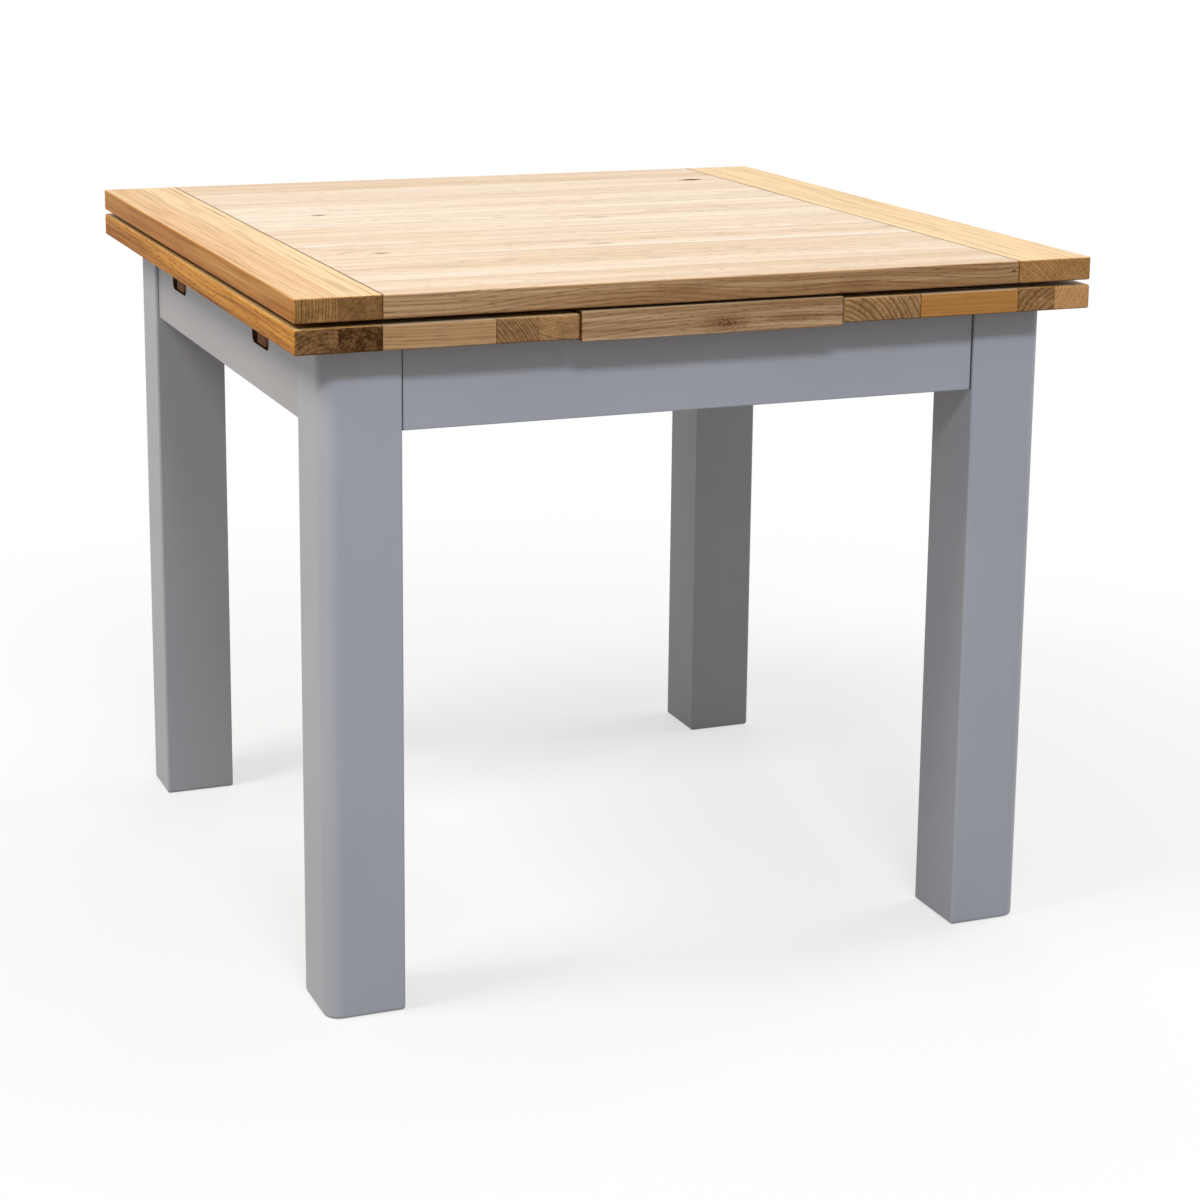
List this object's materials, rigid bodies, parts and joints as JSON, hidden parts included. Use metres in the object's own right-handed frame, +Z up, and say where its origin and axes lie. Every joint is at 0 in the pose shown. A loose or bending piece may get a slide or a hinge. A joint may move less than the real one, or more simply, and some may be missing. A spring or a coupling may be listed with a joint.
{
  "type": "draw-leaf table",
  "caption": "Square dining table with a painted frame and oak top; draw leaves stored under the top slide out and climb on sloped bearers.",
  "frame": {"origin": "middle of the footprint, on the floor", "axes": "+X to the right seen from the front, the way the right leaf draws out; +Y to the back; +Z up"},
  "size_m": [0.9, 0.9, 0.775],
  "materials": {
    "grey_paint": "mid-grey eggshell paint over wood",
    "oak": "natural oak under satin lacquer",
    "beech": "bare planed beech",
    "plywood": "bare birch plywood",
    "zinc_steel": "zinc-plated steel",
    "felt": "brown pressed felt"
  },
  "bodies": {
    "frame": {"leg_front_left": "grey_paint", "leg_front_right": "grey_paint", "leg_back_left": "grey_paint", "leg_back_right": "grey_paint", "apron_front": "grey_paint", "apron_back": "grey_paint", "apron_left": "grey_paint", "apron_right": "grey_paint", "centre_board": "oak", "corner_block_front_left": "beech", "corner_block_front_right": "beech", "corner_block_back_left": "beech", "corner_block_back_right": "beech", "cross_rail_left": "beech", "cross_rail_right": "beech", "fixing_block_front": "beech", "fixing_block_back": "beech", "leg_bolts": "zinc_steel", "leg_bolt_washers": "zinc_steel", "leg_bolt_nuts": "zinc_steel", "corner_block_screws": "zinc_steel", "fixing_screws": "zinc_steel", "felt_pads": "felt"},
    "left_leaf": {"left_leaf_boards": "oak", "left_leaf_outer_cleat": "oak", "left_leaf_inner_cleat": "oak", "left_loper_front": "beech", "left_loper_back": "beech", "left_stop_pins": "beech", "left_leaf_tongues": "plywood", "left_leaf_screws": "zinc_steel"},
    "right_leaf": {"right_leaf_boards": "oak", "right_leaf_outer_cleat": "oak", "right_leaf_inner_cleat": "oak", "right_loper_front": "beech", "right_loper_back": "beech", "right_stop_pins": "beech", "right_leaf_tongues": "plywood", "right_leaf_screws": "zinc_steel"},
    "top_dowels": {"locating_dowels": "beech"},
    "top": {"top_boards": "oak", "top_cleat_left": "oak", "top_cleat_right": "oak", "top_tongues": "plywood"}
  },
  "joints": [
    {"name": "left_leaf_draw", "type": "slide", "parent": "frame", "child": "left_leaf", "axis": [-0.9949, 0, 0.1011], "range_m": [0, 0.30155]},
    {"name": "right_leaf_draw", "type": "slide", "parent": "frame", "child": "right_leaf", "axis": [0.9949, 0, 0.1011], "range_m": [0, 0.30155]},
    {"name": "top_lift_left", "type": "hinge", "parent": "frame", "child": "top_dowels", "pos_m": [0.45, 0, 0.75], "axis": [0, 1, 0], "range_deg": [0, 1.67]},
    {"name": "top_lift_right", "type": "hinge", "parent": "top_dowels", "child": "top", "pos_m": [-0.45, 0, 0.75], "axis": [0, -1, 0], "range_deg": [0, 1.67]}
  ],
  "couplings": [
    {"joint": "top_lift_left", "follows": "left_leaf_draw", "rad_per_m": 0.09617},
    {"joint": "top_lift_right", "follows": "right_leaf_draw", "rad_per_m": 0.09617}
  ]
}
